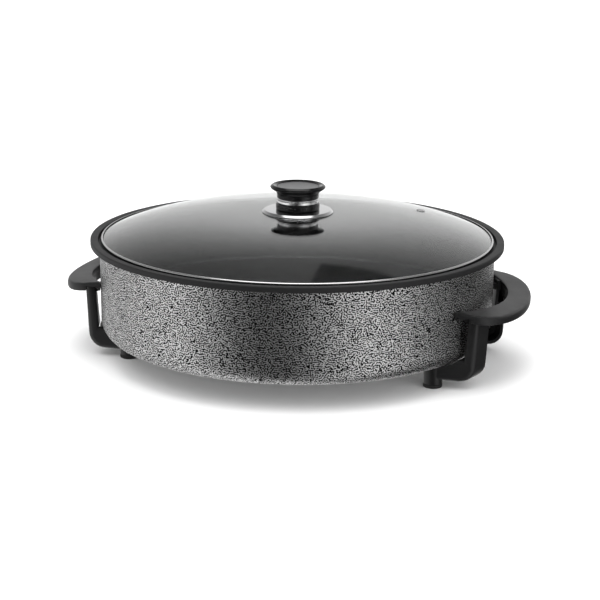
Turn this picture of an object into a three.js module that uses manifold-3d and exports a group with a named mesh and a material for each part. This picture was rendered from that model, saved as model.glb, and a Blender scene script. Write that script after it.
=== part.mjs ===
// Electric pan: a cast pan in a sheet housing on four feet, with two moulded handles and a loose glass lid.
// Millimetres, +Z up. The origin is the middle of the surface that the pan stands on.
// The handles lie along X, and the inlet for the heat control is under the +X handle.
import * as THREE from 'three';
import { mergeVertices } from 'three/addons/utils/BufferGeometryUtils.js';
import Module from 'manifold-3d';

const wasm = await Module();
wasm.setup();

// Gap between pieces that seat on each other
const seatGap = 0.3;
// How far a cutter runs past what it cuts
const overrun = 1;

// Housing: heights here and below count from its flat underside, which stands this high
const standHeight = 26;
const wallRadius = 202;
const wallDraft = 0.3;
const housingSheet = 1.2;
const cornerRadius = 15;

// Pan: a casting that hangs in the housing by its rim, with its base well above the housing's
const panHeight = 97.9;
const panClearance = 0.4;
const wallThickness = 2.4;
const baseLift = 23;
const baseThickness = 5;
const innerCornerRadius = 12;

// Rim: a flat flange, a little higher at its outer edge, with a ledge inside it for the lid
const rimReach = 9.2;
const rimRise = 0.5;
const rimDepth = 5.5;
const rimFoot = 1.3;
const rimSkew = 1.4;
const rimRound = 1.2;
const ledgeWidth = 5.4;
const ledgeDepth = 4.1;

// Heating element: a tube pressed into a groove in a ridge under the base
const elementInboard = 84;
const elementRingRadius = wallRadius - elementInboard;
const elementRadius = 4;
const elementDrop = 5;
const elementBend = 16;
const grooveClearance = 0.3;
const ridgeHeight = 7.5;
const ridgeHalfFoot = 10;
const ridgeHalfCrown = 7;
const ridgeGapHalf = 46;

// Inlet: two contact pins and the probe's bore, inside a guard that is open towards +X
const pinSpacing = 36;
const pinDrop = 10;
const pinRadius = 3;
const pinNeckRadius = 1.6;
const pinTipRound = 1.2;
const pinStartInset = 7.4;
const pinTipInset = 6;
const sealLength = 4;
const sealRadius = 4.2;
const probeBossLength = 22;
const probeBossHalfWidth = 8;
const probeBossHeight = 17;
const probeBoreRadius = 3.6;
const probeBoreDepth = 18;
const guardMouthInboard = 10;
const guardDepth = 28;
const guardHalfWidth = 29;
const guardTopDrop = 1.5;
const guardHeight = 17;
const guardWall = 2.5;
const guardCorner = 5;
const guardHoleClearance = 0.5;
const guardEarRadius = 6;
const guardEarThickness = 3;
const guardEarInset = 7;
const guardEarOverhang = 4;
const guardBossHeight = 4;
const guardBossRadius = 5;
const windowClearance = 0.5;

// Screws that hold the guard
const guardScrewRadius = 1.7;
const guardScrewHeadRadius = 3.4;
const guardScrewHeadHeight = 2.4;
const guardScrewBite = 3;

// Feet: a cylindrical end on each handle arm, screwed up into a boss under the pan
const footInboard = 43.2;
const footInset = 19.5;
const footRadius = 9.6;
const padHeight = 4;
const padRound = 1.6;
const padPlugHeight = 3;
const padPlugClearance = 0.35;
const postRadius = 7;
const handleScrewRadius = 2.4;
const handleScrewHeadRadius = 4.3;
const handleScrewHeadHeight = 3;
const handleScrewBite = 7;
const screwClearance = 0.4;
const counterboreRadius = 5.3;
const counterboreFloorDrop = 12;
const washerThickness = 1;
const washerRadius = 4.9;

// Handle grip: a D seen from above, bounded by an ellipse outside and a circle inside
const gripTop = 54;
const gripThickness = 8.5;
const gripCentreInboard = 2;
const gripHalfWidth = 90.5;
const gripReach = 40.6;
const fingerGap = 15.6;
const gripShoulder = 8.5;
const gripDroop = 0.13;
const gripRound = 2.2;
const gripWall = 2.8;
const gripPlate = 3;
const gripWallGap = 0.6;
const endWindowInset = 3;
const endWindowInboard = 5;

// Handle legs: two sloping straps that turn in under the pan
const legInset = 22.5;
const legWidth = 22;
const legGapTop = 5.9;
const legGapBottom = 2.1;
const legDepthTop = 10.5;
const legDepthBottom = 11.7;
const legShelf = 5;
const legSkin = 3;
const legSideSkin = 4.5;
const legPocketTop = 43;
const legRibThickness = 2.4;
const legRibHeights = [10, 27];
const armBottomDrop = 17;
const armCorner = 16;
const armGap = 1.5;
const legRound = 4;

// Bracket that fills the space between each leg's top and the pan's wall
const bracketDrop = 3.5;

// Skirt that hangs from the grip's inner edge, between the legs
const skirtDrop = 7;
const skirtThickness = 2;
const skirtInset = 0.4;

// Lid glass: a dome that is flat in the middle and steeper towards its edge
const glassThickness = 4;
const glassEdgeClearance = 3.5;
const domeRise = 24.5;
const domePower = 3.3;
const knobHoleRadius = 4.5;
const ventInboard = 65.8;
const ventTurn = 34;
const ventHoleRadius = 2.6;
const ventFlangeRadius = 4.6;
const ventFlangeThickness = 0.9;
const ventWall = 0.8;
const ventFit = 0.3;

// Lid ring: a steel channel round the edge of the glass
const ringWall = 0.8;
const ringLip = 1.4;
const ringFit = 0.3;
const ringRound = 0.6;

// Knob, from the glass up
const gasketRadius = 12;
const gasketThickness = 2.5;
const knobBaseRadius = 36.4;
const knobBaseEdge = 1.5;
const knobBaseLift = 0.7;
const knobBaseSheet = 1;
const bandRadius = 22.4;
const bandHeight = 5.2;
const bandRound = 1;
const collarRadius = 20.8;
const collarHeight = 6.2;
const collarRound = 0.9;
const knobNeckRadius = 21.4;
const knobNeckHeight = 3.4;
const knobTopRadius = 28.1;
const knobWaistRadius = 23.2;
const knobWaistHeight = 5.4;
const knobWidestHeight = 9.5;
const knobHeight = 11.9;
const knobCrestRadius = 25.8;
const capRadius = 20.6;
const capThickness = 1.4;
const capRaise = 0.5;
const capRimWidth = 1.6;

// Knob fixing, from the glass down
const lowerGasketRadius = 10;
const lowerGasketThickness = 1.5;
const knobWasherRadius = 9;
const knobWasherThickness = 1.2;
const knobScrewRadius = 2.8;
const knobScrewHeadRadius = 5.4;
const knobScrewHeadHeight = 3.6;
const knobBoreClearance = 0.4;
const knobScrewTopInset = 5.5;

// Facets round each kind of round piece
const panFacets = 60;
const lidFacets = 54;
const knobFacets = 32;
const smallFacets = 14;
const tubeFacets = 8;

// Sizes that follow from the ones above
const housingInner = wallRadius - housingSheet;
const panOuter = housingInner - panClearance;
const innerRadius = panOuter - wallThickness;
const rimTop = panHeight + rimRise;
const rimUnderside = panHeight - rimDepth;
const postFoot = housingSheet + seatGap;
const rimInnerRadius = innerRadius + ledgeWidth;
const ledgeHeight = panHeight - ledgeDepth;
const ringBottom = ledgeHeight + seatGap;
const glassRadius = rimInnerRadius - glassEdgeClearance;
const glassEdgeTop = ringBottom + ringWall + ringFit + glassThickness;
const glassApex = glassEdgeTop + domeRise;
const guardMouth = wallRadius - guardMouthInboard;
const guardBack = guardMouth - guardDepth;
const pinStart = guardBack - pinStartInset;
const pinEnd = guardMouth - pinTipInset;
const guardEarBack = guardBack - guardEarInset;
const guardEarAcross = guardHalfWidth + guardEarOverhang;
const footOut = wallRadius - footInboard;
const footAcross = gripHalfWidth - footInset;
const gripCentreOut = wallRadius - gripCentreInboard;
const gripInnerReach = wallRadius + fingerGap;
const gripInnerHalfWidth = gripHalfWidth - gripShoulder;
const endWindowOut = wallRadius - endWindowInboard;
const ventRadius = wallRadius - ventInboard;
const ventAngle = THREE.MathUtils.degToRad(ventTurn);
const legAcross = gripHalfWidth - legInset;
const wallAtLeg = Math.sqrt(wallRadius ** 2 - legAcross ** 2);
const legSlant = legAcross / wallAtLeg;
const gripUnderside = gripTop - gripThickness;
const footBottomDrop = standHeight - padHeight;
const guardBottomDrop = guardTopDrop + guardHeight;
const screwTip = postFoot + handleScrewBite;

// Materials
const finishes = {
  hammeredHousing: { color: 0x8c8c8c, roughness: 0.5, metalness: 0.5 },
  coatedPan: { color: 0x242424, roughness: 0.4, metalness: 0.3 },
  blackMoulding: { color: 0x262627, roughness: 0.45, metalness: 0 },
  knobMoulding: { color: 0x141415, roughness: 0.2, metalness: 0 },
  rubber: { color: 0x1b1b1b, roughness: 0.85, metalness: 0 },
  steel: { color: 0xb9bcc0, roughness: 0.3, metalness: 1 },
  brightChrome: { color: 0xe6e8ea, roughness: 0.08, metalness: 1 },
  glass: { color: 0xbfc6c8, roughness: 0.03, metalness: 0, transparent: true, opacity: 0.35 },
  ceramic: { color: 0xe8e4da, roughness: 0.6, metalness: 0 },
  silicone: { color: 0x9a9c9e, roughness: 0.7, metalness: 0 },
  capInlay: { color: 0x77797c, roughness: 0.35, metalness: 0.4 },
};

// A three.js geometry as a solid that can be joined and cut
function solidOf(geometry) {
  const plain = geometry.clone();
  plain.deleteAttribute('normal');
  plain.deleteAttribute('uv');
  const merged = mergeVertices(plain);
  const corners = merged.index.array;
  const triangles = [];
  for (let i = 0; i < corners.length; i += 3) {
    const [a, b, c] = corners.slice(i, i + 3);
    if (a !== b && b !== c && c !== a) triangles.push(a, b, c);
  }
  return new wasm.Manifold(new wasm.Mesh({
    numProp: 3,
    vertProperties: Float32Array.from(merged.attributes.position.array),
    triVerts: Uint32Array.from(triangles),
  }));
}

// A solid as a named mesh with its own material
function piece(name, solid, finish) {
  const { vertProperties, triVerts, numProp } = solid.getMesh();
  const positions = new Float32Array((vertProperties.length / numProp) * 3);
  for (let i = 0; i < positions.length / 3; i += 1) {
    positions.set(vertProperties.subarray(i * numProp, i * numProp + 3), i * 3);
  }
  const geometry = new THREE.BufferGeometry();
  geometry.setAttribute('position', new THREE.BufferAttribute(positions, 3));
  geometry.setIndex(new THREE.BufferAttribute(Uint32Array.from(triVerts), 1));
  geometry.computeVertexNormals();
  const mesh = new THREE.Mesh(geometry, new THREE.MeshStandardMaterial(finish));
  mesh.name = name;
  return mesh;
}

// Points of an arc in a profile, from one angle to another, in degrees
function arc(centreX, centreY, radius, from, to, steps) {
  const points = [];
  for (let i = 0; i <= steps; i += 1) {
    const angle = THREE.MathUtils.degToRad(from + ((to - from) * i) / steps);
    points.push([centreX + radius * Math.cos(angle), centreY + radius * Math.sin(angle)]);
  }
  return points;
}

// A profile of radius and height, turned round the Z axis: outwards below, up outside, back inwards above
function revolve(profile, facets) {
  const points = profile.map(([radius, height]) => new THREE.Vector2(Math.max(radius, 0), height));
  const geometry = new THREE.LatheGeometry(points, facets);
  geometry.rotateX(Math.PI / 2);
  return solidOf(geometry);
}

// The same for a profile that closes on itself, away from the axis
function revolveRing(profile, facets) {
  return revolve([...profile, profile[0]], facets);
}

// A cylinder between two heights
function cylinder(x, y, radius, low, high, facets = smallFacets) {
  const geometry = new THREE.CylinderGeometry(radius, radius, high - low, facets);
  geometry.rotateX(Math.PI / 2);
  geometry.translate(x, y, (low + high) / 2);
  return solidOf(geometry);
}

// A cylinder along X
function cylinderAlongX(y, z, radius, from, to, facets = smallFacets) {
  const geometry = new THREE.CylinderGeometry(radius, radius, to - from, facets);
  geometry.rotateZ(Math.PI / 2);
  geometry.translate((from + to) / 2, y, z);
  return solidOf(geometry);
}

// A box between two corners
function box(low, high) {
  const size = high.map((value, i) => value - low[i]);
  const geometry = new THREE.BoxGeometry(...size);
  geometry.translate(...low.map((value, i) => value + size[i] / 2));
  return solidOf(geometry);
}

// An outline in the XZ plane, carried along Y, with its end faces' edges rounded
function prismAlongY(outline, fromY, toY, slant = 0, slantAbout = 0, round = 0) {
  const shape = new THREE.Shape(outline.map(([x, z]) => new THREE.Vector2(x, z)));
  const geometry = new THREE.ExtrudeGeometry(shape, {
    depth: toY - fromY - 2 * round,
    bevelEnabled: round > 0,
    bevelThickness: round,
    bevelSize: round,
    bevelOffset: -round,
    bevelSegments: 3,
  });
  geometry.rotateX(Math.PI / 2);
  geometry.translate(0, toY - round, 0);
  geometry.applyMatrix4(new THREE.Matrix4().set(
    1, -slant, 0, slant * slantAbout,
    0, 1, 0, 0,
    0, 0, 1, 0,
    0, 0, 0, 1,
  ));
  return solidOf(geometry);
}

// The space that the pan's outside takes up, with a gap round it
function panEnvelope(gap) {
  const foot = wallRadius - cornerRadius;
  return revolve([
    [0, -gap],
    ...arc(foot, cornerRadius, cornerRadius + gap, -90, 0, 6),
    [wallRadius + gap, panHeight],
    [0, panHeight],
  ], panFacets);
}

// Housing: a shell with a round bottom corner, a flat base, four screw holes and the inlet's window
function makeHousing() {
  const foot = wallRadius - wallDraft - cornerRadius;
  const top = rimUnderside - seatGap;
  let housing = revolve([
    [0, 0],
    ...arc(foot, cornerRadius, cornerRadius, -90, 0, 5),
    [wallRadius, top],
    [housingInner, top],
    ...arc(foot, cornerRadius, cornerRadius - housingSheet, 0, -90, 5),
    [0, housingSheet],
  ], panFacets);
  for (const x of [-footOut, footOut]) {
    for (const y of [-footAcross, footAcross]) {
      housing = housing.subtract(cylinder(x, y, handleScrewRadius + screwClearance, -overrun, postFoot));
    }
  }
  const windowIn = guardMouth - guardMouthInboard;
  return housing.subtract(roundedTube(
    guardHalfWidth + windowClearance,
    baseLift - guardBottomDrop - windowClearance,
    baseLift - guardTopDrop + windowClearance,
    guardCorner,
    windowIn,
    wallRadius + overrun,
  ));
}

// Pan: a casting with wall, flat rim, lid ledge, element ridge, screw posts and probe boss.
// It is drawn from the underside of its own base.
function makePan() {
  const grooveRadius = elementRadius + grooveClearance;
  const rimOuter = wallRadius + rimReach;
  const floorFoot = innerRadius - innerCornerRadius;
  const low = -baseLift;
  let pan = revolve([
    [0, 0],
    [elementRingRadius - ridgeHalfFoot, 0],
    [elementRingRadius - ridgeHalfCrown, -ridgeHeight],
    [elementRingRadius - grooveRadius, -ridgeHeight],
    ...arc(elementRingRadius, -elementDrop, grooveRadius, 180, 0, 4),
    [elementRingRadius + grooveRadius, -ridgeHeight],
    [elementRingRadius + ridgeHalfCrown, -ridgeHeight],
    [elementRingRadius + ridgeHalfFoot, 0],
    ...arc(panOuter - cornerRadius, cornerRadius, cornerRadius, -90, 0, 4),
    [panOuter, rimUnderside + low],
    [wallRadius + rimFoot, rimUnderside + low],
    [rimOuter, rimUnderside + rimSkew + low],
    ...arc(rimOuter - rimRound, rimTop - rimRound + low, rimRound, 0, 90, 2),
    [rimInnerRadius, panHeight + low],
    [rimInnerRadius, ledgeHeight + low],
    [innerRadius, ledgeHeight + low],
    ...arc(floorFoot, baseThickness + innerCornerRadius, innerCornerRadius, 0, -90, 3),
    [0, baseThickness],
  ], panFacets);

  // The ridge stops short of the inlet, where the element's ends run out
  pan = pan.subtract(box(
    [elementRingRadius - ridgeHalfFoot - ridgeGapHalf / 2, -ridgeGapHalf, -ridgeHeight - overrun],
    [elementRingRadius + ridgeHalfFoot + overrun, ridgeGapHalf, 0],
  ));

  // Posts that reach down to the housing's base for the screws of the handles
  for (const x of [-footOut, footOut]) {
    for (const y of [-footAcross, footAcross]) {
      pan = pan.add(cylinder(x, y, postRadius, postFoot + low, baseThickness / 2));
      const bore = handleScrewRadius + screwClearance;
      pan = pan.subtract(cylinder(x, y, bore, low, screwTip + screwClearance + low));
    }
  }

  // Bosses for the guard's screws
  for (const y of [-guardEarAcross, guardEarAcross]) {
    pan = pan.add(cylinder(guardEarBack, y, guardBossRadius, -guardBossHeight, baseThickness / 2));
    const bore = guardScrewRadius + screwClearance;
    const top = guardScrewBite + screwClearance - guardBossHeight;
    pan = pan.subtract(cylinder(guardEarBack, y, bore, -guardBossHeight - overrun, top));
  }

  // Boss with the blind bore that the heat control's probe slides into
  const probeFace = guardBack - seatGap;
  const probeEnd = probeFace - probeBoreDepth;
  pan = pan.add(box(
    [probeFace - probeBossLength, -probeBossHalfWidth, -probeBossHeight],
    [probeFace, probeBossHalfWidth, baseThickness / 2],
  ));
  return pan.subtract(cylinderAlongX(0, -pinDrop, probeBoreRadius, probeEnd, probeFace + overrun));
}

// Centre line of the heating element: a ring whose two ends bend outwards and drop to the pins
class ElementLine extends THREE.Curve {
  constructor() {
    super();
    const half = pinSpacing / 2;
    this.bendX = Math.sqrt((elementRingRadius + elementBend) ** 2 - (half + elementBend) ** 2);
    this.bendY = half + elementBend;
    this.ringAngle = Math.atan2(this.bendY, this.bendX);
    this.end = pinStart - sealLength - seatGap * 2;
    this.straight = this.end - this.bendX;
    this.bendLength = elementBend * (Math.PI / 2 - this.ringAngle);
    this.ringLength = elementRingRadius * (Math.PI - this.ringAngle);
    this.halfLength = this.straight + this.bendLength + this.ringLength;
  }

  getPoint(t, target = new THREE.Vector3()) {
    const side = t < 0.5 ? 1 : -1;
    const run = (t < 0.5 ? t : 1 - t) * 2 * this.halfLength;
    const half = pinSpacing / 2;
    if (run <= this.straight) {
      const share = run / this.straight;
      const fall = (1 + Math.cos(Math.PI * share)) / 2;
      const height = -elementDrop - (pinDrop - elementDrop) * fall;
      return target.set(this.end - run, side * half, height);
    }
    if (run <= this.straight + this.bendLength) {
      const angle = Math.PI / 2 + (run - this.straight) / elementBend;
      const x = this.bendX + elementBend * Math.cos(angle);
      return target.set(x, side * (this.bendY - elementBend * Math.sin(angle)), -elementDrop);
    }
    const angle = this.ringAngle + (run - this.straight - this.bendLength) / elementRingRadius;
    const across = side * elementRingRadius * Math.sin(angle);
    return target.set(elementRingRadius * Math.cos(angle), across, -elementDrop);
  }
}

function makeElement() {
  const section = new THREE.Shape(arc(0, 0, elementRadius, 0, 360 - 360 / tubeFacets, tubeFacets - 1)
    .map(([x, y]) => new THREE.Vector2(x, y)));
  return solidOf(new THREE.ExtrudeGeometry(section, {
    extrudePath: new ElementLine(), steps: 56, bevelEnabled: false,
  }));
}

// Round insulator between the element's end and its contact pin
function makeSeal(side) {
  const y = (side * pinSpacing) / 2;
  const from = pinStart - sealLength - seatGap;
  const seal = cylinderAlongX(y, -pinDrop, sealRadius, from, from + sealLength, smallFacets);
  const bore = pinNeckRadius + seatGap;
  const to = from + sealLength + overrun;
  return seal.subtract(cylinderAlongX(y, -pinDrop, bore, from - overrun, to, tubeFacets));
}

// Contact pin with a rounded tip and a neck that passes through its insulator
function makePin(side) {
  const tip = pinEnd - pinTipRound;
  const profile = [
    [0, pinStart - sealLength - seatGap],
    [pinNeckRadius, pinStart - sealLength - seatGap],
    [pinNeckRadius, pinStart],
    [pinRadius, pinStart],
    ...arc(pinRadius - pinTipRound, tip, pinTipRound, 0, 90, 3),
    [0, pinEnd],
  ];
  const geometry = new THREE.LatheGeometry(profile.map(([r, h]) => new THREE.Vector2(r, h)), smallFacets);
  geometry.rotateZ(-Math.PI / 2);
  geometry.translate(0, (side * pinSpacing) / 2, -pinDrop);
  return solidOf(geometry);
}

// A rectangle in the YZ plane with round corners, carried along X
function roundedTube(halfWidth, low, high, corner, from, to) {
  const shape = new THREE.Shape([
    ...arc(halfWidth - corner, high - corner, corner, 0, 90, 3),
    ...arc(-halfWidth + corner, high - corner, corner, 90, 180, 3),
    ...arc(-halfWidth + corner, low + corner, corner, 180, 270, 3),
    ...arc(halfWidth - corner, low + corner, corner, 270, 360, 3),
  ].map(([y, z]) => new THREE.Vector2(y, z)));
  const geometry = new THREE.ExtrudeGeometry(shape, { depth: to - from, bevelEnabled: false });
  geometry.rotateX(Math.PI / 2);
  geometry.rotateZ(Math.PI / 2);
  geometry.translate(from, 0, 0);
  return solidOf(geometry);
}

// Inlet guard: a moulded box with an open mouth, holes for pins and probe, and two ears for its screws
function makeGuard() {
  const low = -guardBottomDrop;
  const high = -guardTopDrop;
  let guard = roundedTube(guardHalfWidth, low, high, guardCorner, guardBack, guardMouth);
  guard = guard.subtract(roundedTube(
    guardHalfWidth - guardWall, low + guardWall, high - guardWall, guardCorner - guardWall,
    guardBack + guardWall, guardMouth + overrun,
  ));
  for (const side of [-1, 1]) {
    const hole = pinRadius + guardHoleClearance;
    guard = guard.subtract(cylinderAlongX(
      (side * pinSpacing) / 2, -pinDrop, hole, guardBack - overrun, guardBack + guardWall + overrun,
    ));
    const earTop = -guardBossHeight - seatGap;
    const earLow = earTop - guardEarThickness;
    const y = side * guardEarAcross;
    const inward = y - side * guardEarRadius;
    const ear = cylinder(guardEarBack, y, guardEarRadius, earLow, earTop).add(box(
      [guardEarBack, Math.min(y + (side * guardEarRadius) / 2, inward), earLow],
      [guardBack + guardWall, Math.max(y + (side * guardEarRadius) / 2, inward), earTop],
    ));
    guard = guard.add(ear);
    guard = guard.subtract(cylinder(
      guardEarBack, y, guardScrewRadius + screwClearance, earLow - overrun, earTop + overrun,
    ));
  }
  const probeHole = probeBoreRadius + guardHoleClearance;
  return guard.subtract(cylinderAlongX(
    0, -pinDrop, probeHole, guardBack - overrun, guardBack + guardWall + overrun,
  ));
}

// Pan-head screw that points up, with a cross recess in its head
function makeScrew(shankRadius, headRadius, headHeight, headTop, tip) {
  const crown = headHeight / 2;
  const headLow = headTop - headHeight;
  const profile = [
    [0, headLow],
    [headRadius - crown, headLow],
    [headRadius - crown / 4, headLow + crown / 2],
    [headRadius, headLow + crown],
    [headRadius, headTop],
    [shankRadius, headTop],
    [shankRadius, tip - shankRadius / 2],
    [shankRadius / 2, tip],
    [0, tip],
  ];
  const slotHalf = headRadius / 8;
  const slotReach = headRadius / 2;
  const slotTop = headLow + crown;
  return revolve(profile, smallFacets)
    .subtract(box([-slotReach, -slotHalf, headLow - overrun], [slotReach, slotHalf, slotTop]))
    .subtract(box([-slotHalf, -slotReach, headLow - overrun], [slotHalf, slotReach, slotTop]));
}

// Flat ring between two heights
function makeWasher(outer, inner, low, high, facets = smallFacets) {
  return revolveRing([[inner, low], [outer, low], [outer, high], [inner, high]], facets);
}

// Arc that follows the grip's inner edge out to a distance from the middle, drawn in by an inset
function gripInnerArc(inset, halfWidth) {
  const chordOut = Math.sqrt((wallRadius + gripWallGap) ** 2 - gripInnerHalfWidth ** 2);
  const rise = gripInnerReach - chordOut;
  const radius = (gripInnerHalfWidth ** 2 + rise ** 2) / (2 * rise);
  const spread = THREE.MathUtils.radToDeg(Math.asin(halfWidth / radius));
  return arc(gripInnerReach - radius, 0, radius + inset, spread, -spread, 12);
}

// Outline of the grip seen from above, drawn in by an inset
function gripOutline(inset) {
  const outer = arc(0, 0, 1, -90, 90, 20)
    .map(([c, s]) => [gripCentreOut + (gripReach - inset) * c, (gripHalfWidth - inset) * s]);
  const inner = gripInnerArc(inset, gripInnerHalfWidth);
  const wallEnd = Math.sqrt((wallRadius + gripWallGap) ** 2 - gripHalfWidth ** 2);
  return [
    ...outer,
    [wallEnd + inset, gripHalfWidth - inset],
    ...inner,
    [wallEnd + inset, -gripHalfWidth + inset],
  ];
}

// A slab with an outline seen from above, between two heights, drooping away from the pan
function droopedSlab(outline, low, high, round) {
  const shape = new THREE.Shape(outline.map(([x, y]) => new THREE.Vector2(x, y)));
  const geometry = new THREE.ExtrudeGeometry(shape, {
    depth: high - low - 2 * round,
    bevelEnabled: round > 0,
    bevelThickness: round,
    bevelSize: round,
    bevelOffset: -round,
    bevelSegments: 2,
  });
  geometry.translate(0, 0, low + round);
  geometry.applyMatrix4(new THREE.Matrix4().set(
    1, 0, 0, 0,
    0, 1, 0, 0,
    -gripDroop, 0, 1, gripDroop * wallRadius,
    0, 0, 0, 1,
  ));
  return solidOf(geometry);
}

// Skirt under the grip's inner edge, whose ends run into the legs
function makeSkirt() {
  const inner = gripInnerArc(skirtInset, legAcross);
  const outer = gripInnerArc(skirtInset + skirtThickness, legAcross).reverse();
  return droopedSlab([...inner, ...outer], gripUnderside - skirtDrop, gripTop - gripPlate / 2, 0);
}

// Where a leg's inner and outer faces are at a height, in the leg's middle plane
function legFaces(height) {
  const share = height / gripTop;
  const gap = legGapBottom + (legGapTop - legGapBottom) * share;
  const depth = legDepthBottom + (legDepthTop - legDepthBottom) * share;
  return { inner: wallAtLeg + gap, outer: wallAtLeg + gap + depth };
}

// Outline of a leg with its arm, seen from the side, drawn in by an inset
function legOutline(inset, top, innerEnd) {
  const upper = legFaces(top);
  const shelf = legFaces(legShelf);
  const lower = legFaces(0);
  const bottom = -armBottomDrop + inset;
  const corner = armCorner - inset;
  const outerX = lower.outer - inset;
  return [
    [innerEnd, legShelf],
    [innerEnd, bottom],
    ...arc(outerX - corner, bottom + corner, corner, -90, 0, 6),
    [upper.outer - inset, top],
    [upper.inner + inset, top],
    [shelf.inner + inset, legShelf],
  ];
}

// One leg with its arm, foot and bracket, on the +Y or -Y side
function makeLeg(side) {
  const near = legAcross - legWidth / 2;
  const far = legAcross + legWidth / 2;
  const ordered = (a, b) => [Math.min(side * a, side * b), Math.max(side * a, side * b)];
  const plateTop = gripTop - gripPlate / 2;
  const strap = (outline, a, b, round = 0) => (
    prismAlongY(outline, ...ordered(a, b), side * legSlant, side * legAcross, round)
  );

  // The leg is rounded on the side that faces away from the middle of the handle
  const inward = near - 2 * legRound;
  const [cutLow, cutHigh] = ordered(inward - overrun, near);
  const body = strap(legOutline(0, plateTop, footOut - legRound), inward, far, legRound)
    .subtract(box(
      [footOut - legRound - overrun, cutLow, -armBottomDrop - overrun],
      [gripInnerReach + gripReach, cutHigh, gripTop],
    ))
    .subtract(panEnvelope(armGap));
  const pocketEnd = footOut + footRadius;
  const pocket = strap(legOutline(legSkin, legPocketTop, pocketEnd), near - overrun, far - legSideSkin)
    .subtract(panEnvelope(armGap + legSkin));
  let leg = body.subtract(pocket);
  for (const height of legRibHeights) {
    const { inner, outer } = legFaces(height);
    const rib = strap([
      [inner + legSkin / 2, height],
      [outer - legSkin / 2, height],
      [outer - legSkin / 2, height + legRibThickness],
      [inner + legSkin / 2, height + legRibThickness],
    ], near, far - legSkin / 2);
    leg = leg.add(rib);
  }

  const at = legFaces(gripUnderside);
  const bracket = strap([
    [wallAtLeg - legGapTop, gripUnderside],
    [at.inner, gripUnderside - bracketDrop],
    [at.inner + legSkin / 2, gripUnderside - bracketDrop],
    [at.inner + legSkin / 2, gripUnderside + gripPlate],
    [wallAtLeg - legGapTop, gripUnderside + gripPlate],
  ], near + legSkin / 2, far - legRound);
  leg = leg.add(bracket).subtract(panEnvelope(gripWallGap));

  const y = side * footAcross;
  return leg
    .add(cylinder(footOut, y, footRadius, -footBottomDrop, -seatGap))
    .subtract(cylinder(footOut, y, counterboreRadius, -footBottomDrop - overrun, -counterboreFloorDrop))
    .subtract(cylinder(footOut, y, handleScrewRadius + screwClearance, -counterboreFloorDrop - overrun, 0));
}

// Handle: hollow grip with open ends, two channel-shaped legs, arms under the pan and two feet
function makeHandle() {
  let handle = droopedSlab(gripOutline(0), gripUnderside, gripTop, gripRound)
    .subtract(droopedSlab(gripOutline(gripWall), gripUnderside - gripThickness, gripTop - gripPlate, 0));
  const windowIn = Math.sqrt(wallRadius ** 2 - gripHalfWidth ** 2) + endWindowInset;
  for (const side of [-1, 1]) {
    const ends = [side * (gripHalfWidth - gripWall - overrun), side * (gripHalfWidth + overrun)];
    handle = handle.subtract(box(
      [windowIn, Math.min(...ends), gripUnderside - gripThickness],
      [endWindowOut, Math.max(...ends), gripTop - gripPlate],
    ));
  }
  handle = handle.add(makeLeg(1)).add(makeLeg(-1)).add(makeSkirt());
  return handle.subtract(panEnvelope(gripWallGap));
}

// Rubber foot pad with a plug that presses into the foot's counterbore
function makePad() {
  const top = -footBottomDrop - seatGap;
  const plug = counterboreRadius - padPlugClearance;
  return revolve([
    [0, -standHeight],
    [footRadius - padRound, -standHeight],
    ...arc(footRadius - padRound, -standHeight + padRound, padRound, -60, 0, 2),
    [footRadius, top],
    [plug, top],
    [plug, top + padPlugHeight],
    [0, top + padPlugHeight],
  ], smallFacets);
}

// Height of the glass's upper face at a radius
function domeHeight(radius) {
  return glassEdgeTop + domeRise * (1 - (radius / glassRadius) ** domePower);
}

// Radii at which the dome's profile has a point, as shares of the glass's radius
const domeShares = [1, 0.95, 0.88, 0.79, 0.67, 0.5, 0.3];

// A profile turned round the vent's own axis, which stands square to the dome there
function revolveAtVent(profile) {
  const slope = (domeRise * domePower * (ventRadius / glassRadius) ** domePower) / ventRadius;
  const geometry = new THREE.LatheGeometry(profile.map(([r, h]) => new THREE.Vector2(r, h)), smallFacets);
  geometry.rotateX(Math.PI / 2);
  geometry.rotateY(Math.atan(slope));
  geometry.translate(ventRadius, 0, domeHeight(ventRadius));
  geometry.rotateZ(ventAngle);
  return solidOf(geometry);
}

function makeGlass() {
  const radii = domeShares.map((share) => share * glassRadius);
  const upper = radii.map((r) => [r, domeHeight(r)]);
  const lower = [...radii].reverse().map((r) => [r, domeHeight(r) - glassThickness]);
  const hole = ventHoleRadius + ventWall + ventFit;
  return revolveRing([
    [knobHoleRadius, glassApex - glassThickness],
    ...lower,
    ...upper,
    [knobHoleRadius, glassApex],
  ], lidFacets).subtract(revolveAtVent([
    [0, -glassThickness - overrun],
    [hole, -glassThickness - overrun],
    [hole, overrun],
    [0, overrun],
  ]));
}

// Steel ring: a channel that wraps the glass's edge
function makeRing() {
  const inside = glassRadius + ringFit;
  const outside = inside + ringWall;
  const lip = glassRadius - ringLip;
  const under = glassEdgeTop - glassThickness - ringFit;
  const lipTop = domeHeight(lip) + ringFit;
  return revolveRing([
    [lip, under - ringWall],
    [outside, under - ringWall],
    ...arc(outside - ringRound, glassEdgeTop + ringFit + ringWall - ringRound, ringRound, 0, 90, 2),
    [lip, lipTop + ringWall],
    [lip, lipTop],
    [inside, glassEdgeTop + ringFit],
    [inside, under],
    [lip, under],
  ], lidFacets);
}

// Steel eyelet in the vent hole: a short tube with a rounded flange on the glass
function makeVent() {
  const outer = ventHoleRadius + ventWall;
  const profile = [
    [ventHoleRadius, -glassThickness],
    [outer, -glassThickness],
    [outer, seatGap],
    [ventFlangeRadius, seatGap],
    [ventFlangeRadius, seatGap + ventFlangeThickness / 2],
    [outer, seatGap + ventFlangeThickness],
    [ventHoleRadius, seatGap + ventFlangeThickness],
  ];
  return revolveAtVent([...profile, profile[0]]);
}

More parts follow.
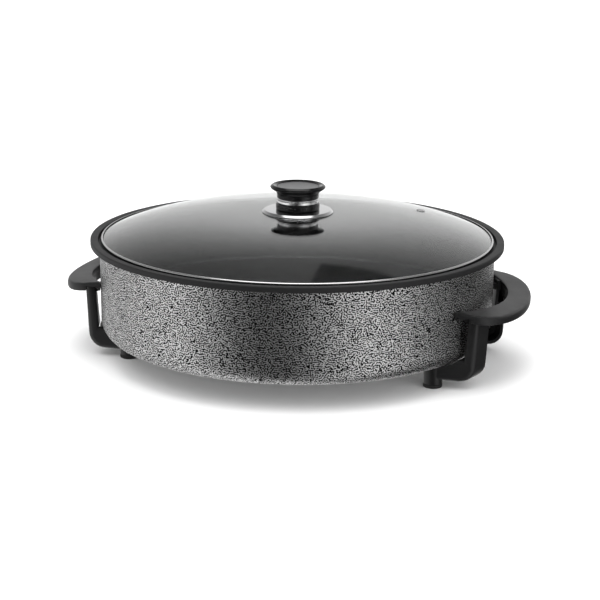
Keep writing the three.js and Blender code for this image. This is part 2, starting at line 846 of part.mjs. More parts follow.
// Heights in the knob's stack, from the glass up
const baseSeat = glassApex + seatGap + gasketThickness + seatGap;
const baseTop = baseSeat + knobBaseSheet;
const bandLow = baseTop + seatGap;
const collarLow = bandLow + bandHeight + seatGap;
const knobLow = collarLow + collarHeight + seatGap;
const knobTop = knobLow + knobHeight;
const stackBore = knobScrewRadius + knobBoreClearance;

// Shares of the bell's flare, of the knob's underside and of its crest at which their profiles have a point
const bellShares = [0.12, 0.35, 0.65, 1];
const undersideShares = [0.3, 0.65, 0.9, 1];
const crestShares = [0.35, 0.7, 1];

// Knob base: a pressed bell that comes down close to the glass at its edge
function makeKnobBase() {
  const edgeLow = domeHeight(knobBaseRadius) + knobBaseLift;
  const edgeTop = edgeLow + knobBaseEdge;
  const rise = baseTop - edgeTop;
  const run = knobBaseRadius - bandRadius;
  const flare = bellShares.map((share) => [
    knobBaseRadius - knobBaseEdge / 2 - (run - knobBaseEdge / 2) * share,
    edgeTop + rise * share ** 2,
  ]);
  return revolveRing([
    [stackBore, baseSeat],
    [gasketRadius + knobBaseEdge, baseSeat],
    [knobBaseRadius - knobBaseEdge, edgeLow],
    ...arc(knobBaseRadius - knobBaseEdge / 2, (edgeLow + edgeTop) / 2, knobBaseEdge / 2, -90, 90, 4),
    ...flare,
    [stackBore, baseTop],
  ], knobFacets);
}

// Black band above the knob's base, with rounded edges
function makeKnobBand() {
  const top = bandLow + bandHeight;
  return revolveRing([
    [stackBore, bandLow],
    ...arc(bandRadius - bandRound, bandLow + bandRound, bandRound, -90, 0, 2),
    ...arc(bandRadius - bandRound, top - bandRound, bandRound, 0, 90, 2),
    [stackBore, top],
  ], knobFacets);
}

// Bright collar under the knob
function makeKnobCollar() {
  const top = collarLow + collarHeight;
  return revolveRing([
    [stackBore, collarLow],
    ...arc(collarRadius - collarRound, collarLow + collarRound, collarRound, -90, 0, 2),
    ...arc(collarRadius - collarRound, top - collarRound, collarRound, 0, 90, 2),
    [stackBore, top],
  ], knobFacets);
}

// Knob: a neck that flares to a wide head, with a recess for the cap and a bore for the screw
function makeKnob() {
  const recessRadius = capRadius + seatGap;
  const recessFloor = knobTop - capThickness - seatGap;
  const boreTop = knobTop - knobScrewTopInset + seatGap;
  return revolve([
    [0, boreTop],
    [stackBore, boreTop],
    [stackBore, knobLow],
    [knobNeckRadius, knobLow],
    [knobNeckRadius, knobLow + knobNeckHeight],
    [knobWaistRadius, knobLow + knobWaistHeight],
    ...undersideShares.map((share) => [
      knobWaistRadius + (knobTopRadius - knobWaistRadius) * Math.sin((share * Math.PI) / 2),
      knobLow + knobWaistHeight + (knobWidestHeight - knobWaistHeight) * share,
    ]),
    ...crestShares.map((share) => [
      knobCrestRadius + (knobTopRadius - knobCrestRadius) * Math.cos((share * Math.PI) / 2),
      knobLow + knobWidestHeight + (knobHeight - knobWidestHeight) * Math.sin((share * Math.PI) / 2),
    ]),
    [recessRadius + capRimWidth, knobTop],
    [recessRadius, knobTop - capRaise],
    [recessRadius, recessFloor],
    [0, recessFloor],
  ], knobFacets);
}

// Plain inlay in the knob's head, with a low rim round it
function makeKnobCap() {
  const low = knobTop - capThickness;
  const top = knobTop - capRaise;
  return revolve([
    [0, low],
    [capRadius, low],
    [capRadius, top],
    [capRadius - capRimWidth, top],
    [capRadius - capRimWidth - capRaise / 2, top - capRaise / 2],
    [0, top - capRaise / 2],
  ], knobFacets);
}

const gasketBore = knobScrewRadius + knobBoreClearance;
const lowerGasketTop = glassApex - glassThickness - seatGap;
const knobWasherTop = lowerGasketTop - lowerGasketThickness - seatGap;
const knobScrewHeadTop = knobWasherTop - knobWasherThickness - seatGap;

const pan = new THREE.Group();
pan.position.z = standHeight;

// Fixed pieces. What hangs under the pan's base is drawn from there
pan.add(piece('housing', makeHousing(), finishes.hammeredHousing));
const casting = new THREE.Group();
casting.position.z = baseLift;
casting.add(piece('pan_body', makePan(), finishes.coatedPan));
casting.add(piece('heating_element', makeElement(), finishes.steel));
casting.add(piece('socket_guard', makeGuard(), finishes.blackMoulding));
for (const [word, side] of [['front', -1], ['rear', 1]]) {
  casting.add(piece(`element_seal_${word}`, makeSeal(side), finishes.ceramic));
  casting.add(piece(`contact_pin_${word}`, makePin(side), finishes.steel));
  const screw = piece(`guard_screw_${word}`, makeScrew(
    guardScrewRadius, guardScrewHeadRadius, guardScrewHeadHeight,
    -guardBossHeight - seatGap - guardEarThickness - seatGap, guardScrewBite - guardBossHeight,
  ), finishes.steel);
  screw.position.set(guardEarBack, side * guardEarAcross, 0);
  casting.add(screw);
}
pan.add(casting);

// Handles, each with its two feet, pads, washers and screws
for (const [word, turn] of [['right', 0], ['left', Math.PI]]) {
  const assembly = new THREE.Group();
  assembly.rotation.z = turn;
  assembly.add(piece(`handle_${word}`, makeHandle(), finishes.blackMoulding));
  for (const [end, side] of [['a', -1], ['b', 1]]) {
    const fixings = new THREE.Group();
    fixings.position.set(footOut, side * footAcross, 0);
    fixings.add(piece(`foot_pad_${word}_${end}`, makePad(), finishes.rubber));
    const washerTop = -counterboreFloorDrop - seatGap;
    fixings.add(piece(`foot_washer_${word}_${end}`, makeWasher(
      washerRadius, handleScrewRadius + screwClearance, washerTop - washerThickness, washerTop,
    ), finishes.steel));
    fixings.add(piece(`handle_screw_${word}_${end}`, makeScrew(
      handleScrewRadius, handleScrewHeadRadius, handleScrewHeadHeight,
      washerTop - washerThickness - seatGap, screwTip,
    ), finishes.steel));
    assembly.add(fixings);
  }
  pan.add(assembly);
}

// Lid
const lid = new THREE.Group();
lid.add(piece('lid_glass', makeGlass(), finishes.glass));
lid.add(piece('lid_ring', makeRing(), finishes.steel));
lid.add(piece('vent_eyelet', makeVent(), finishes.steel));
lid.add(piece('knob_gasket_upper', makeWasher(
  gasketRadius, gasketBore, glassApex + seatGap, glassApex + seatGap + gasketThickness,
), finishes.silicone));
lid.add(piece('knob_base', makeKnobBase(), finishes.brightChrome));
lid.add(piece('knob_band', makeKnobBand(), finishes.knobMoulding));
lid.add(piece('knob_collar', makeKnobCollar(), finishes.brightChrome));
lid.add(piece('knob', makeKnob(), finishes.knobMoulding));
lid.add(piece('knob_cap', makeKnobCap(), finishes.capInlay));
lid.add(piece('knob_gasket_lower', makeWasher(
  lowerGasketRadius, gasketBore, lowerGasketTop - lowerGasketThickness, lowerGasketTop,
), finishes.silicone));
lid.add(piece('knob_washer', makeWasher(
  knobWasherRadius, gasketBore, knobWasherTop - knobWasherThickness, knobWasherTop,
), finishes.steel));
lid.add(piece('knob_screw', makeScrew(
  knobScrewRadius, knobScrewHeadRadius, knobScrewHeadHeight, knobScrewHeadTop, knobTop - knobScrewTopInset,
), finishes.steel));
pan.add(lid);

export default pan;
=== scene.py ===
"""Electric pan with a hammered grey wall, black side handles and a domed glass lid, dressed for a photograph."""
import logging
import math
from dataclasses import dataclass, field
from enum import Enum
from typing import Any, Sequence

import bpy
import numpy as np
from mathutils import Matrix, Vector


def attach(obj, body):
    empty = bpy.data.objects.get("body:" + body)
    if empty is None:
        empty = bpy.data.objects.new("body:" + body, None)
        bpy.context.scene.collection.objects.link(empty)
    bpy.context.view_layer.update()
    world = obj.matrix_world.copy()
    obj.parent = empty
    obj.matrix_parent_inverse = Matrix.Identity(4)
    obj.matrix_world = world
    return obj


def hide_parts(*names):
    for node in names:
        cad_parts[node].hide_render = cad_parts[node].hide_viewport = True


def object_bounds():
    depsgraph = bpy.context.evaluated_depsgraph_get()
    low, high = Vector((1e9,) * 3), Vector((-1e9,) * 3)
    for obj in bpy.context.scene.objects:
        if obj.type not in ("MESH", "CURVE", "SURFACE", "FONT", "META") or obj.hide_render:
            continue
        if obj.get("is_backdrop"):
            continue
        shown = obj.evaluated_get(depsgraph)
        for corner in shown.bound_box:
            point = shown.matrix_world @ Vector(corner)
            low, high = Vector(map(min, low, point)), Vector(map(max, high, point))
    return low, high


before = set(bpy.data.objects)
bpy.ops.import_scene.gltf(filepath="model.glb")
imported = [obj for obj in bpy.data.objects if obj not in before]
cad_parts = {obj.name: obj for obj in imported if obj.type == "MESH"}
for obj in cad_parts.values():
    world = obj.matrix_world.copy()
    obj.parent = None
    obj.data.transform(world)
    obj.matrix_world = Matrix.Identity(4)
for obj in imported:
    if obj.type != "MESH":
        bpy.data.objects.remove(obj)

log = logging.getLogger("electric_pan")

MILLIMETRE = 0.001
STAND_HEIGHT = 26.0


class Body(Enum):
    """The two bodies that pieces ride on."""

    PAN = "pan"
    LID = "lid"


# Shader expressions


class Value:
    """A number that varies over a surface; Python sums on it add Math nodes."""

    def __init__(self, nodes: "NodeBench", socket: bpy.types.NodeSocket) -> None:
        """Wrap one output socket of a node bench."""
        self.nodes = nodes
        self.socket = socket

    def _sum(self, operation: str, first: Any, second: Any) -> "Value":
        """Add a Math node for an operation on two values."""
        return self.nodes.value("ShaderNodeMath", {"operation": operation}, {0: first, 1: second})

    def __add__(self, other: Any) -> "Value":
        """self + other."""
        return self._sum("ADD", self, other)

    def __radd__(self, other: Any) -> "Value":
        """other + self."""
        return self._sum("ADD", other, self)

    def __sub__(self, other: Any) -> "Value":
        """self - other."""
        return self._sum("SUBTRACT", self, other)

    def __rsub__(self, other: Any) -> "Value":
        """other - self."""
        return self._sum("SUBTRACT", other, self)

    def __mul__(self, other: Any) -> "Value":
        """self * other."""
        return self._sum("MULTIPLY", self, other)

    def __rmul__(self, other: Any) -> "Value":
        """other * self."""
        return self._sum("MULTIPLY", other, self)

    def __truediv__(self, other: Any) -> "Value":
        """self / other."""
        return self._sum("DIVIDE", self, other)

    def __pow__(self, other: Any) -> "Value":
        """self ** other."""
        return self._sum("POWER", self, other)

    def bearing(self, ahead: Any) -> "Value":
        """The angle whose tangent is self / ahead, from -pi to pi."""
        return self._sum("ARCTAN2", self, ahead)

    def step(self, low: float, high: float) -> "Value":
        """A smooth step that is 0 below low and 1 above high.

        Args:
            low: where the step starts.
            high: where it ends; it may be below low for a falling step.

        Returns:
            The stepped value.
        """
        return self.nodes.value("ShaderNodeMapRange", {"interpolation_type": "SMOOTHSTEP"},
                                {"Value": self, "From Min": low, "From Max": high})


class NodeBench:
    """A node tree under construction, for a material or for the world."""

    def __init__(self, tree: bpy.types.NodeTree) -> None:
        """Start with an empty tree."""
        self.tree = tree
        tree.nodes.clear()

    def node(self, kind: str, settings: dict | None = None, inputs: dict | None = None) -> bpy.types.Node:
        """Add a node.

        Args:
            kind: the node's type name.
            settings: its properties; places and grey levels under "stops" fill a colour ramp.
            inputs: values or links for its sockets, by name or number.

        Returns:
            The new node.
        """
        made = self.tree.nodes.new(kind)
        for key, setting in (settings or {}).items():
            if key == "stops":
                ramp = made.color_ramp
                while len(ramp.elements) > 1:
                    ramp.elements.remove(ramp.elements[-1])
                for number, (place, level) in enumerate(setting):
                    stop = ramp.elements[0] if number == 0 else ramp.elements.new(place)
                    stop.position = place
                    stop.color = (level, level, level, 1.0)
            else:
                setattr(made, key, setting)
        for key, given in (inputs or {}).items():
            given = given.socket if isinstance(given, Value) else given
            if isinstance(given, bpy.types.NodeSocket):
                self.tree.links.new(given, made.inputs[key])
            else:
                made.inputs[key].default_value = given
        return made

    def value(self, kind: str, settings: dict | None = None, inputs: dict | None = None,
              output: int | str = 0) -> Value:
        """Add a node and wrap one of its outputs, with the same arguments as node()."""
        return Value(self, self.node(kind, settings, inputs).outputs[output])

    def place(self) -> bpy.types.NodeSocket:
        """The point on the surface, in metres of the shared frame."""
        return self.node("ShaderNodeTexCoord").outputs["Object"]

    def noise(self, size: float, detail: float = 2.0, rough: float = 0.5, where: Any = None) -> Value:
        """Smooth noise between 0 and 1, centred on 0.5.

        Args:
            size: width of its patches in millimetres.
            detail: how many finer layers are added.
            rough: how strong the finer layers are.
            where: the point that it is read at.

        Returns:
            The noise.
        """
        return self.value("ShaderNodeTexNoise", {"noise_dimensions": "3D"},
                          {"Vector": where or self.place(), "Scale": 1.0 / (size * MILLIMETRE),
                           "Detail": detail, "Roughness": rough}, "Fac")

    def blend(self, share: Any, first: Any, second: Any) -> bpy.types.NodeSocket:
        """Mix two colours: first where the share is 0, second where it is 1."""
        mixed = self.node("ShaderNodeMix", {"data_type": "RGBA", "clamp_factor": True},
                          {0: share, 6: _colour(first), 7: _colour(second)})
        return mixed.outputs[2]

    def relief(self, height: Any, depth: float, strength: float = 1.0) -> bpy.types.NodeSocket:
        """A surface normal tilted by a height that varies over the surface.

        Args:
            height: the height, from 0 to 1.
            depth: what a height of 1 stands for, in millimetres.
            strength: share of the full effect.

        Returns:
            The normal.
        """
        inputs = {"Height": height, "Distance": depth * MILLIMETRE, "Strength": strength}
        return self.node("ShaderNodeBump", None, inputs).outputs[0]


def _colour(given: Any) -> Any:
    """A colour with its fourth number, or the link as it is."""
    return (*given, 1.0) if isinstance(given, tuple) and len(given) == 3 else given


# Finishes


@dataclass(frozen=True)
class Finish:
    """A plain finish whose colour and gloss vary a little, with a fine grain."""

    name: str
    colour: tuple[float, float, float]
    roughness: float
    metallic: float = 0.0
    mottle: float = 0.12
    patch: float = 14.0
    grain: float = 0.7
    relief: float = 0.02
    specular: float = 0.5

    def material(self) -> bpy.types.Material:
        """The finish as a material, made on first use."""
        known = bpy.data.materials.get(self.name)
        if known:
            return known
        made = bpy.data.materials.new(self.name)
        made.use_nodes = True
        nodes = NodeBench(made.node_tree)
        shader = nodes.node("ShaderNodeBsdfPrincipled", None, self.inputs(nodes))
        nodes.node("ShaderNodeOutputMaterial", None, {"Surface": shader.outputs[0]})
        made.diffuse_color = (*self.colour, 1.0)
        return made

    def inputs(self, nodes: NodeBench) -> dict[str, Any]:
        """What the shader's sockets get."""
        patches = nodes.noise(self.patch, 3.0)
        grain = nodes.noise(self.grain, 2.0, 0.6)
        low = tuple(level * (1.0 - self.mottle) for level in self.colour)
        high = tuple(min(1.0, level * (1.0 + self.mottle)) for level in self.colour)
        return {
            "Base Color": nodes.blend(patches * 0.6 + grain * 0.4, low, high),
            "Roughness": self.roughness * (1.0 - self.mottle) + patches * (2.0 * self.mottle * self.roughness),
            "Metallic": self.metallic,
            "Specular IOR Level": self.specular,
            "Normal": nodes.relief(grain, self.relief),
        }


@dataclass(frozen=True)
class HammeredEnamel(Finish):
    """Grey enamel with dark worm-like cells, as on hammer-finish sheet steel."""

    dark: tuple[float, float, float] = (0.008, 0.008, 0.008)
    cell: float = 1.95
    depth: float = 0.04
    fray: float = 0.3
    cut: tuple[float, float] = (0.46, 0.545)
    shine: float = 0.12
    clouds: float = 60.0

    def inputs(self, nodes: NodeBench) -> dict[str, Any]:
        """Worms: waves of one length that run in every direction, cut to light and dark at their middle."""
        waves = nodes.value("ShaderNodeTexGabor", {"gabor_type": "3D"},
                            {"Vector": nodes.place(), "Scale": 0.5 / (self.cell * MILLIMETRE),
                             "Frequency": 2.0, "Anisotropy": 0.0})
        fine = nodes.noise(self.cell * 0.55, 1.0, 0.6)
        broad = nodes.noise(self.clouds, 2.0)
        worm = (waves + (fine - 0.5) * self.fray).step(*self.cut)
        level = worm * (0.9 + broad * 0.2)
        return {
            "Base Color": nodes.blend(level, self.dark, self.colour),
            "Roughness": self.roughness - worm * self.shine,
            "Metallic": self.metallic,
            "Normal": nodes.relief(worm, self.depth, 0.5),
        }


@dataclass(frozen=True)
class TurnedMetal(Finish):
    """Metal polished or rolled round the Z axis, with faint rings."""

    ring: float = 0.25

    def inputs(self, nodes: NodeBench) -> dict[str, Any]:
        """Rings: noise read at (0.03 x, 0.03 y, z) and at the distance from the axis."""
        split = nodes.node("ShaderNodeSeparateXYZ", None, {0: nodes.place()})
        x, y, z = (Value(nodes, split.outputs[axis]) for axis in range(3))
        radius = (x * x + y * y) ** 0.5
        turned = nodes.node("ShaderNodeCombineXYZ", None, {0: radius, 1: z, 2: 0.0}).outputs[0]
        rings = nodes.noise(self.ring, 3.0, 0.6, turned)
        patches = nodes.noise(self.patch, 2.0)
        low = tuple(level * (1.0 - self.mottle) for level in self.colour)
        return {
            "Base Color": nodes.blend(rings * 0.5 + patches * 0.5, low, self.colour),
            "Roughness": self.roughness * 0.7 + (rings * 0.35 + patches * 0.25) * self.roughness,
            "Metallic": self.metallic,
            "Normal": nodes.relief(rings, self.relief, 0.5),
        }


@dataclass(frozen=True)
class ShadeLinedSteel(TurnedMetal):
    """Turned metal painted near-black along its inner edge, as a painted shade line."""

    painted_shade_radius: float = 0.0

    def inputs(self, nodes: NodeBench) -> dict[str, Any]:
        """Painted shade: near-black up to the given distance from the axis, (x * x + y * y) ** 0.5."""
        made = super().inputs(nodes)
        split = nodes.node("ShaderNodeSeparateXYZ", None, {0: nodes.place()})
        x, y = (Value(nodes, split.outputs[axis]) for axis in range(2))
        # painted shade: the ring's inner face is darkened in its colour, standing in for shade
        steel = ((x * x + y * y) ** 0.5).step((self.painted_shade_radius - 0.15) * MILLIMETRE, (self.painted_shade_radius + 0.1) * MILLIMETRE)
        made["Base Color"] = nodes.blend(steel, (0.008, 0.008, 0.008), made["Base Color"])
        return made


@dataclass(frozen=True)
class ClearGlass(Finish):
    """Clear toughened glass, very slightly uneven."""

    def inputs(self, nodes: NodeBench) -> dict[str, Any]:
        """Transmission and index are constants; only the gloss and a faint wave vary."""
        wave = nodes.noise(self.patch, 1.0)
        smear = nodes.noise(self.grain, 3.0)
        return {
            "Base Color": (*self.colour, 1.0),
            "Roughness": self.roughness * 0.5 + smear * self.roughness,
            "Transmission Weight": 1.0,
            "IOR": 1.5,
            "Normal": nodes.relief(wave, self.relief),
        }


ENAMEL = HammeredEnamel("Enamel hammered grey", (0.78, 0.78, 0.78), 0.5, 1.0)
COATING = Finish("Coating non-stick", (0.0085, 0.0085, 0.0088), 0.52, 0.0, 0.15, 30.0, 1.1, 0.1, 0.32)
MOULDING = Finish("Moulding satin black", (0.008, 0.008, 0.0083), 0.4, 0.0, 0.18, 22.0, 0.5, 0.02, 0.42)
RUBBER = Finish("Rubber matt black", (0.012, 0.012, 0.012), 0.8, 0.0, 0.25, 6.0, 0.6, 0.05)
KNOB_BLACK = Finish("Moulding gloss black", (0.004, 0.004, 0.0043), 0.1, 0.0, 0.12, 12.0, 0.4, 0.003, 0.36)
INLAY = TurnedMetal("Inlay satin grey", (0.13, 0.13, 0.133), 0.36, 0.6, 0.1, 6.0, relief=0.01)
# the ring's inner lip, up to 198.5 mm from the axis, carries a painted shade line
RING_STEEL = ShadeLinedSteel("Steel rolled ring", (0.64, 0.64, 0.64), 0.2, 1.0, 0.12, 20.0, relief=0.01, painted_shade_radius=198.5)
EYELET_STEEL = Finish("Steel eyelet satin", (0.6, 0.6, 0.6), 0.25, 0.75, 0.06, 6.0, 0.4, 0.005)
CHROME = TurnedMetal("Chrome polished", (0.9, 0.9, 0.905), 0.14, 1.0, 0.05, 20.0, relief=0.002)
SPUN_STEEL = TurnedMetal("Steel spun", (0.66, 0.66, 0.665), 0.14, 1.0, 0.08, 20.0, relief=0.05, ring=0.5)
FIXING_STEEL = Finish("Steel zinc plated", (0.6, 0.6, 0.61), 0.35, 1.0, 0.12, 3.0, 0.4, 0.01)
PIN_STEEL = Finish("Steel nickel plated", (0.72, 0.71, 0.68), 0.2, 1.0, 0.08, 4.0, 0.4, 0.005)
ELEMENT_STEEL = Finish("Steel heat toned", (0.36, 0.33, 0.3), 0.45, 0.9, 0.3, 18.0, 0.5, 0.03)
CERAMIC = Finish("Ceramic off-white", (0.8, 0.77, 0.7), 0.6, 0.0, 0.06, 3.0, 0.5, 0.03)
SILICONE = Finish("Silicone grey", (0.4, 0.4, 0.41), 0.6, 0.0, 0.08, 6.0, 0.5, 0.02)
GLASS = ClearGlass("Glass clear", (0.97, 0.985, 0.98), 0.012, 0.0, 0.0, 90.0, 25.0, 0.004)


# Surfaces on grids


@dataclass
class Surface:
    """Points in millimetres and four-cornered faces; a face that repeats a corner is a triangle."""

    points: np.ndarray
    faces: np.ndarray

    def __add__(self, other: "Surface") -> "Surface":
        """Both surfaces side by side in one."""
        return Surface(np.vstack([self.points, other.points]),
                       np.vstack([self.faces, other.faces + len(self.points)]))

    def moved(self, x: float = 0.0, y: float = 0.0, z: float = 0.0) -> "Surface":
        """The surface carried by an offset in millimetres."""
        return Surface(self.points + np.array([x, y, z]), self.faces)

    def turned(self, matrix: np.ndarray) -> "Surface":
        """The surface with each point times a 3 by 3 rotation."""
        return Surface(self.points @ matrix.T, self.faces)

    def mesh(self, name: str, sharp: float) -> bpy.types.Mesh:
        """Put the surface into a mesh.

        Args:
            name: the mesh's name.
            sharp: faces that meet at a larger angle than this, in degrees, keep a hard edge.

        Returns:
            The mesh, in metres.
        """
        keep = self.faces != np.roll(self.faces, 1, axis=1)
        totals = keep.sum(axis=1)
        real = totals >= 3
        corners = self.faces[real][keep[real]]
        used, corners = np.unique(corners, return_inverse=True)
        starts = np.concatenate([[0], np.cumsum(totals[real])[:-1]])
        mesh = bpy.data.meshes.new(name)
        mesh.vertices.add(len(used))
        mesh.vertices.foreach_set("co", (self.points[used] * MILLIMETRE).astype(np.float32).ravel())
        mesh.loops.add(len(corners))
        mesh.loops.foreach_set("vertex_index", corners.astype(np.int32).ravel())
        mesh.polygons.add(len(starts))
        mesh.polygons.foreach_set("loop_start", starts.astype(np.int32))
        mesh.polygons.foreach_set("use_smooth", np.ones(len(starts), dtype=bool))
        mesh.update(calc_edges=True)
        mesh.validate()
        mesh.set_sharp_from_angle(angle=math.radians(sharp))
        return mesh


def grid(points: np.ndarray, wrap_rows: bool = False, wrap_columns: bool = False) -> Surface:
    """Join neighbours of a grid of points; faces look along (next column) x (next row).

    Args:
        points: the grid, rows by columns by three.
        wrap_rows: join the last row to the first.
        wrap_columns: join the last column to the first.

    Returns:
        The surface, with a row that shrinks to a point closed as a pole.
    """
    rows, columns, _ = points.shape
    index = np.arange(rows * columns).reshape(rows, columns)
    pole = np.ptp(points, axis=1).max(axis=1) < 1e-9
    index[pole] = index[pole][:, :1]
    if wrap_columns:
        index = np.hstack([index, index[:, :1]])
    if wrap_rows:
        index = np.vstack([index, index[:1]])
    corners = [index[:-1, :-1], index[:-1, 1:], index[1:, 1:], index[1:, :-1]]
    return Surface(points.reshape(-1, 3), np.stack(corners, axis=-1).reshape(-1, 4))


def lathe(profile: Sequence[Sequence[float]], steps: int = 160, ring: bool = True) -> Surface:
    """Turn a profile round Z: (r, z) becomes (r cos a, r sin a, z).

    Args:
        profile: radius and height, outwards below, up outside and inwards above.
        steps: points round the circle.
        ring: the profile closes on itself; otherwise both its ends are on the axis.

    Returns:
        The closed surface.
    """
    radius, height = np.asarray(profile, dtype=float).T
    angle = np.linspace(0.0, 2.0 * math.pi, steps, endpoint=False)
    points = np.stack([radius[:, None] * np.cos(angle), radius[:, None] * np.sin(angle),
                       np.repeat(height[:, None], steps, axis=1)], axis=-1)
    return grid(points, wrap_rows=ring, wrap_columns=True)


def rounded(profile: Sequence[Sequence[float]], steps: int = 4, closed: bool = True) -> np.ndarray:
    """Round the corners of a profile.

    Args:
        profile: corners as (radius, height, rounding), where the rounding may be left out or 0.
        steps: points on each rounded corner, less one.
        closed: the profile closes on itself.

    Returns:
        The points: each rounding is a quadratic curve that starts and ends that far from the corner.
    """
    rows = [(*corner, 0.0)[:3] for corner in profile]
    spots = np.array([row[:2] for row in rows], dtype=float)
    out: list[np.ndarray] = []
    for number, (spot, (_, _, size)) in enumerate(zip(spots, rows)):
        at_end = not closed and number in (0, len(rows) - 1)
        if size <= 0.0 or at_end:
            out.append(spot[None])
            continue
        back = spots[number - 1] - spot
        ahead = spots[(number + 1) % len(rows)] - spot
        first = spot + back / np.linalg.norm(back) * min(size, 0.49 * np.linalg.norm(back))
        last = spot + ahead / np.linalg.norm(ahead) * min(size, 0.49 * np.linalg.norm(ahead))
        share = np.linspace(0.0, 1.0, steps + 1)[:, None]
        out.append((1 - share) ** 2 * first + 2 * share * (1 - share) * spot + share ** 2 * last)
    return np.vstack(out)


def circle(centre: Sequence[float], radius: float, first: float, last: float, steps: int) -> list[tuple]:
    """Points (x, y) of an arc between two angles in degrees."""
    angle = np.radians(np.linspace(first, last, steps + 1))
    return list(zip(centre[0] + radius * np.cos(angle), centre[1] + radius * np.sin(angle)))


def add_piece(name: str, surface: Surface, finish: Finish, body: Body,
              nodes: Sequence[str], sharp: float = 32.0) -> bpy.types.Object:
    """Add a finished piece to the scene.

    Args:
        name: the piece's name.
        surface: its surface.
        finish: its finish.
        body: the body that it rides on.
        nodes: the solids that it stands in for.
        sharp: angle in degrees above which an edge stays hard.

    Returns:
        The object, at the origin and unturned.
    """
    piece = bpy.data.objects.new(name, surface.mesh(name, sharp))
    finish_piece(piece, finish, body, nodes)
    return piece


def finish_piece(piece: bpy.types.Object, finish: Finish, body: Body, nodes: Sequence[str]) -> None:
    """Put a piece in the scene with its finish, body and the solids that it stands in for."""
    bpy.context.scene.collection.objects.link(piece)
    piece.data.materials.append(finish.material())
    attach(piece, body.value)
    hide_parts(*nodes)
    log.info("%s: %d faces", piece.name, len(piece.data.polygons))


def weigh_normals(piece: bpy.types.Object) -> None:
    """Let large faces lead the shading of the small ones beside them."""
    weighing = piece.modifiers.new("weighted", "WEIGHTED_NORMAL")
    weighing.keep_sharp = True
    weighing.weight = 60


def smoothed(node: str, sharp: float = 34.0) -> bpy.types.Mesh:
    """A copy of a solid's mesh with its loose triangles joined and its curved faces shaded smooth.

    Args:
        node: the solid's name.
        sharp: angle in degrees above which an edge stays hard.

    Returns:
        The joined mesh.
    """
    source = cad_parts[node].data
    corners = np.empty(len(source.vertices) * 3, dtype=np.float32)
    source.vertices.foreach_get("co", corners)
    order = np.empty(len(source.loops), dtype=np.int32)
    source.loops.foreach_get("vertex_index", order)
    spots, index = np.unique(np.round(corners.reshape(-1, 3) * 1e6).astype(np.int64), axis=0, return_inverse=True)
    triangles = index.reshape(-1)[order].reshape(-1, 3)
    faces = np.column_stack([triangles, triangles[:, 2]])
    return Surface(spots / 1e6 / MILLIMETRE, faces).mesh(f"{node}_mesh", sharp)


def dress(nodes: Sequence[str], finish: Finish) -> None:
    """Give a finish to solids that stay as they are."""
    for name in nodes:
        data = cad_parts[name].data
        data.materials.clear()
        data.materials.append(finish.material())
        log.info("%s: %s", name, finish.name)


# Sub-assemblies


@dataclass
class Housing:
    """Sheet shell round the pan, with a rounded bottom corner and the inlet's window."""

    def build(self) -> None:
        """Build and dress the shell."""
        piece = bpy.data.objects.new("housing_shell", smoothed("housing"))
        finish_piece(piece, ENAMEL, Body.PAN, ["housing"])
        weigh_normals(piece)


@dataclass
class Casting:
    """The pan itself: coated inside and on its flat rim."""

    outer: float = 200.4
    outer_corner: float = 15.0
    inner: float = 198.0
    base_lift: float = 23.0
    base: float = 7.5
    corner: float = 4.0
    height: float = 98.8
    rim_top: float = 99.3
    rim_outer: float = 211.2
    rim_inner: float = 203.4
    rim_foot: float = 203.3
    rim_skew: float = 1.4
    ledge: float = 93.8
    rim_under: float = 92.4

    def profile(self) -> np.ndarray:
        """The casting's profile, heights from the housing's underside."""
        floor = self.base_lift + self.base
        foot = self.inner - self.corner
        outer_foot = (self.outer - self.outer_corner, self.base_lift + self.outer_corner)
        return np.vstack([
            [(0.0, self.base_lift)],
            circle(outer_foot, self.outer_corner, -90.0, 0.0, 8),
            rounded([
                (self.outer, self.rim_under),
                (self.rim_foot, self.rim_under),
                (self.rim_outer, self.rim_under + self.rim_skew, 0.5),
                (self.rim_outer, self.rim_top, 1.3),
                (self.rim_inner, self.height, 0.5),
                (self.rim_inner, self.ledge, 0.8),
                (self.inner, self.ledge, 0.8),
                (self.inner, floor + self.corner + 1.0),
            ], 4, closed=False),
            circle((foot, floor + self.corner), self.corner, 0.0, -90.0, 14),
            [(0.0, floor)],
        ])

    def build(self) -> None:
        """Build and dress the casting."""
        cast = lathe(self.profile(), 220, ring=False).moved(z=STAND_HEIGHT)
        add_piece("pan_casting", cast, COATING, Body.PAN, ["pan_body"])


@dataclass
class Feet:
    """The rubber pads under the four feet."""

    out: float = 158.8
    across: float = 71.0
    radius: float = 9.6
    height: float = 4.0
    rounding: float = 1.6

    def build(self) -> None:
        """Build and dress the pads."""
        profile = rounded([(0.0, 0.0), (self.radius, 0.0, self.rounding), (self.radius, self.height - 0.3, 0.4),
                           (0.0, self.height - 0.3)], 5, closed=False)
        pad = lathe(profile, 48, ring=False)
        for word, side in (("right", 1.0), ("left", -1.0)):
            for end, turn in (("a", -1.0), ("b", 1.0)):
                add_piece(f"pad_{word}_{end}", pad.moved(side * self.out, side * turn * self.across),
                          RUBBER, Body.PAN, [f"foot_pad_{word}_{end}"])


@dataclass
class Fittings:
    """Inlet, heating element and fixings, the handle screws among them, whose solids already have the right
    shape.
    """

    def build(self) -> None:
        """Dress the solids."""
        ends = [f"{word}_{end}" for word in ("right", "left") for end in "ab"]
        dress(["socket_guard"], MOULDING)
        dress(["heating_element"], ELEMENT_STEEL)
        dress(["contact_pin_front", "contact_pin_rear"], PIN_STEEL)
        dress(["element_seal_front", "element_seal_rear"], CERAMIC)
        dress(["guard_screw_front", "guard_screw_rear", "knob_washer", "knob_screw"], FIXING_STEEL)
        dress([f"foot_washer_{end}" for end in ends] + [f"handle_screw_{end}" for end in ends], FIXING_STEEL)
        dress(["knob_gasket_upper", "knob_gasket_lower"], SILICONE)


